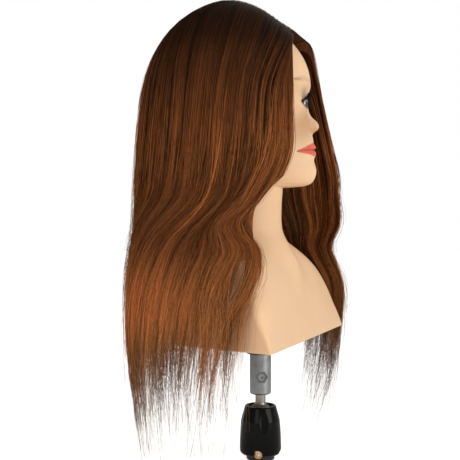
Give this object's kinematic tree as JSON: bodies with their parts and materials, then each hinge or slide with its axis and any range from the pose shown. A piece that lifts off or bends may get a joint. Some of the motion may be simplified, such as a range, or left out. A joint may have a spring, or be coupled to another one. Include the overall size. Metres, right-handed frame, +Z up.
{
  "type": "mannequin training head",
  "caption": "Life-size training head and shoulders with long brown hair, on a steel post with a ball-joint pole clamp locked by a black collar.",
  "frame": {"origin": "centre of the flat foot of the pole socket, on the axis of its bore", "axes": "+Z up along the post; the bust faces -Y; its right shoulder points to -X. The head is turned 19.4 degrees to its own left"},
  "size_m": [0.336, 0.2393, 0.5555],
  "materials": {
    "skin": "satin",
    "scalp": "matte",
    "hair": "satin",
    "lash": "satin",
    "foam": "matte",
    "board": "matte",
    "black_plastic": "satin",
    "collar_black": "gloss",
    "seat_nylon": "satin",
    "stud_steel": "satin",
    "sleeve_steel": "satin",
    "bright_steel": "satin",
    "brass": "satin"
  },
  "bodies": {
    "stand": {"socket_body": "black_plastic", "pole_screw_insert": "brass"},
    "pole_screw": {"pole_screw": "bright_steel"},
    "clamp_ring": {"thrust_ring": "seat_nylon"},
    "collar": {"lock_collar": "collar_black"},
    "seat": {"lower_seat": "seat_nylon"},
    "stud": {"ball_stud": "stud_steel"},
    "sleeve": {"mounting_sleeve": "sleeve_steel", "sleeve_nut": "bright_steel"},
    "set_screw": {"sleeve_screw": "bright_steel"},
    "head": {"head_skin": "skin", "head_filler": "foam", "bust_filler": "foam", "base_plate": "board", "receiver_tube": "black_plastic", "receiver_screws": "bright_steel", "scalp_cap": "scalp", "eyelash_right": "lash", "eyelash_left": "lash", "hair_top_right": "hair", "hair_top_left": "hair", "hair_front_right": "hair", "hair_front_left": "hair", "hair_side_right": "hair", "hair_side_left": "hair", "hair_back": "hair"}
  },
  "joints": [
    {"name": "pole_screw_slide", "type": "slide", "parent": "stand", "child": "pole_screw", "axis": [-0.9813, -0.1925, 0], "range_m": [-0.0003, 0.003]},
    {"name": "ring_rise", "type": "slide", "parent": "stand", "child": "clamp_ring", "axis": [0, 0, 1], "range_m": [0, 0.002]},
    {"name": "collar_turn", "type": "hinge", "parent": "clamp_ring", "child": "collar", "pos_m": [0, 0, 0.052], "axis": [0, 0, 1], "range_deg": [0, 360]},
    {"name": "ball_swivel", "type": "hinge", "parent": "stand", "child": "seat", "pos_m": [0, 0, 0.052], "axis": [0, 0, 1], "continuous": true},
    {"name": "ball_tilt", "type": "hinge", "parent": "seat", "child": "stud", "pos_m": [0, 0, 0.052], "axis": [1, 0, 0], "range_deg": [-28, 28]},
    {"name": "sleeve_turn", "type": "hinge", "parent": "stud", "child": "sleeve", "pos_m": [0, 0, 0.1], "axis": [0, 0, 1], "continuous": true},
    {"name": "set_screw_slide", "type": "slide", "parent": "sleeve", "child": "set_screw", "axis": [-0.891, -0.454, 0], "range_m": [0, 0.003]},
    {"name": "head_lift", "type": "slide", "parent": "sleeve", "child": "head", "axis": [0, 0, 1], "range_m": [0, 0.06]}
  ],
  "couplings": [
    {"joint": "ring_rise", "follows": "collar_turn", "m_per_rad": 0.000318}
  ]
}
